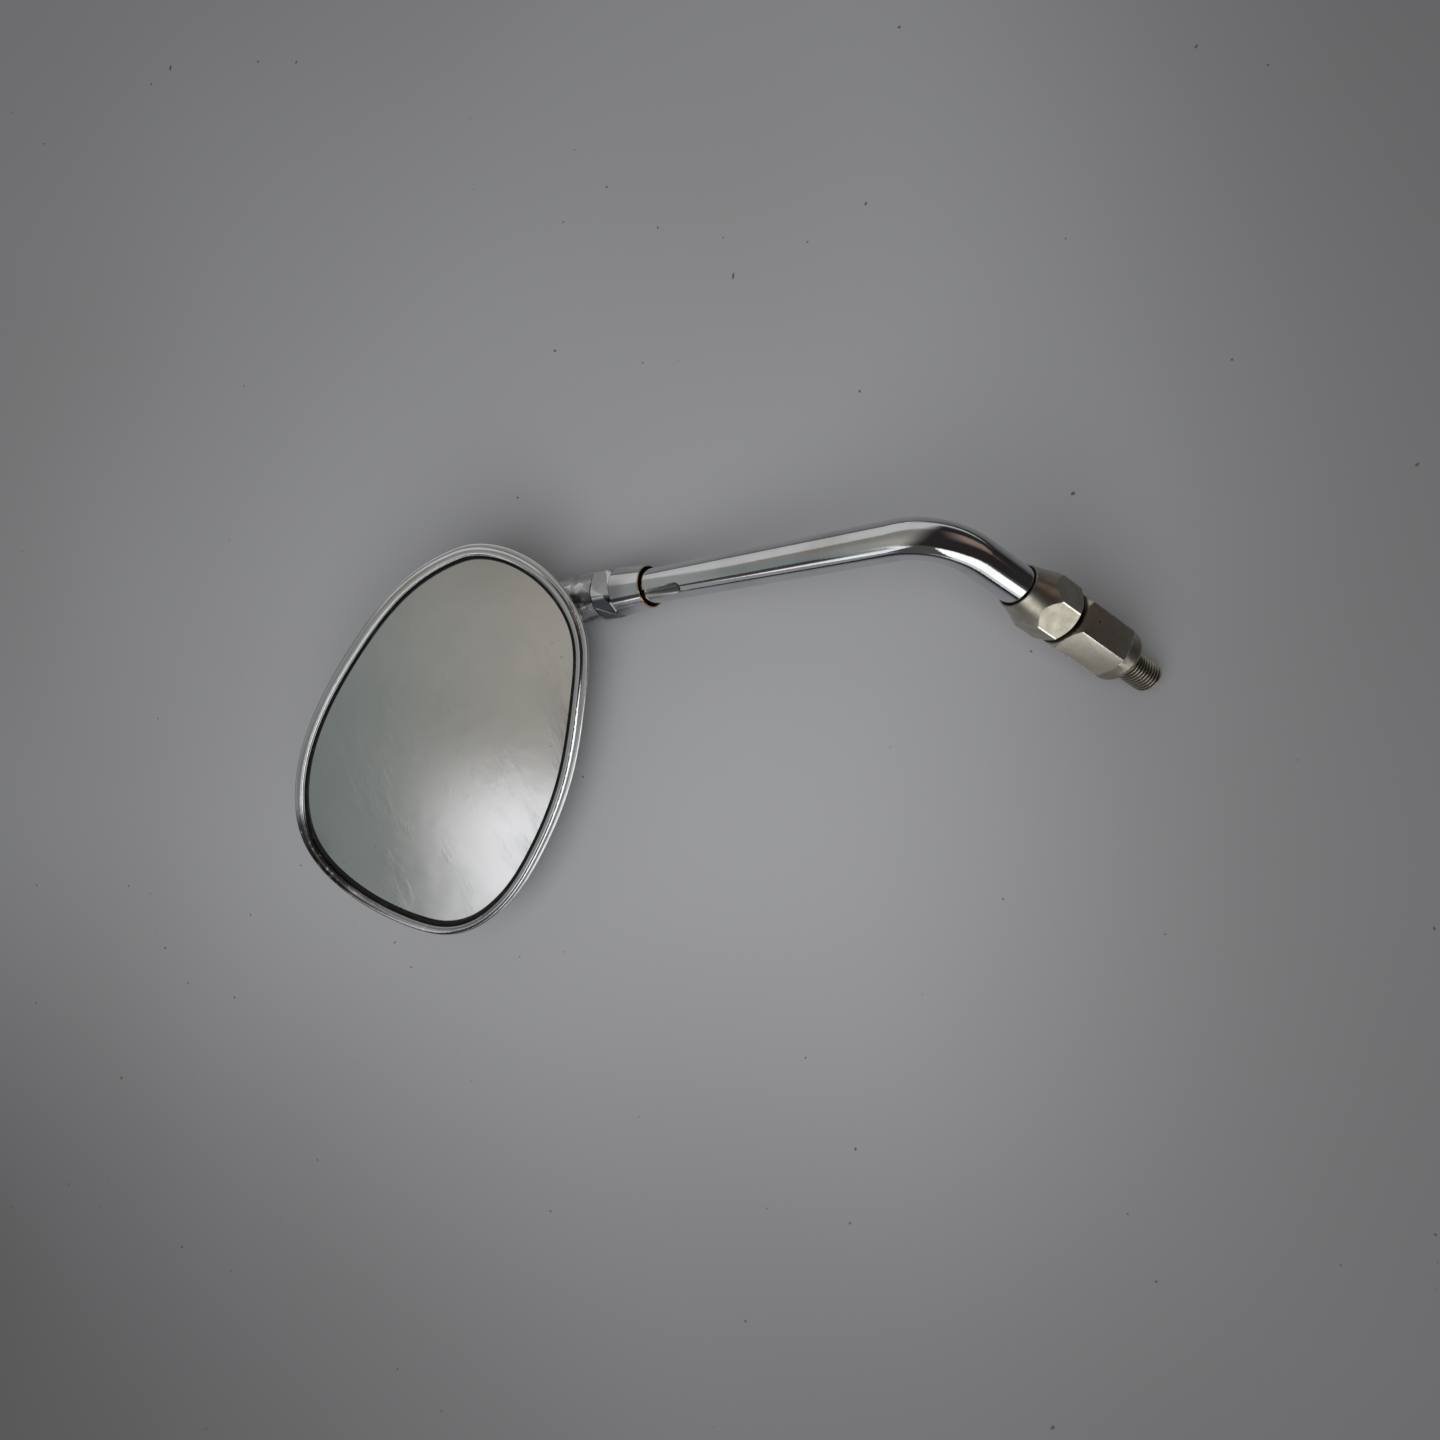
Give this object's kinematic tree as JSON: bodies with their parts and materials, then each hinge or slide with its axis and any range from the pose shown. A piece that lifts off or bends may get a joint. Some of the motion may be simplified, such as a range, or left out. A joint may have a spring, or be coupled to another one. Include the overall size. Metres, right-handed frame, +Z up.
{
  "type": "motorcycle mirror",
  "caption": "Left-hand motorcycle mirror: pear-shaped convex glass in a chromed rim and shell, on a bent tube stem with lock nuts and a hexagon adapter with a threaded stud.",
  "frame": {"origin": "on the stud's axis, where its thread meets the neck under the collar", "axes": "+Z up along the stud's axis, -Y the way the glass faces, +X to the rider's right"},
  "size_m": [0.2078, 0.1347, 0.2113],
  "materials": {
    "satin_steel": "satin zinc plate, slightly yellowed",
    "black_rubber": "soft black rubber",
    "tube_chrome": "polished chrome plate on steel tube",
    "screw_steel": "zinc plated screw rod",
    "plated_brass": "chrome plate on brass, bare brass at the skirt's lip",
    "shell_chrome": "polished chrome plate on a die-cast shell",
    "rim_chrome": "polished chrome plate on pressed steel",
    "gasket_rubber": "black rubber channel",
    "mirror_glass": "silvered convex glass with a light haze",
    "pad_foam": "bonded foam pad"
  },
  "bodies": {
    "adapter": {"adapter": "satin_steel"},
    "stem": {"stem_tube": "tube_chrome", "lower_screw_end": "screw_steel", "upper_screw_end": "screw_steel"},
    "stem_lock_nut": {"stem_lock_nut": "satin_steel", "dust_ring": "black_rubber"},
    "head_lock_nut": {"head_lock_nut": "plated_brass"},
    "head": {"mirror_shell": "shell_chrome", "rim_bezel": "rim_chrome", "glass_gasket": "gasket_rubber", "glass": "mirror_glass", "backing_pad": "pad_foam"}
  },
  "joints": [
    {"name": "stem_swivel", "type": "hinge", "parent": "adapter", "child": "stem", "pos_m": [0, 0, 0.0293], "axis": [0, 0, 1], "range_deg": [-180, 180]},
    {"name": "stem_lock_nut_turn", "type": "hinge", "parent": "stem", "child": "stem_lock_nut", "pos_m": [0, 0, 0.0294], "axis": [0, 0, 1], "range_deg": [0, 360]},
    {"name": "head_lock_nut_turn", "type": "hinge", "parent": "stem", "child": "head_lock_nut", "pos_m": [-0.05566, 0.08771, 0.12747], "axis": [0.4856, -0.7652, -0.4226], "range_deg": [0, 360]},
    {"name": "head_swivel", "type": "hinge", "parent": "stem", "child": "head", "pos_m": [-0.0596, 0.09391, 0.13089], "axis": [-0.4856, 0.7652, 0.4226], "range_deg": [-180, 180]}
  ]
}
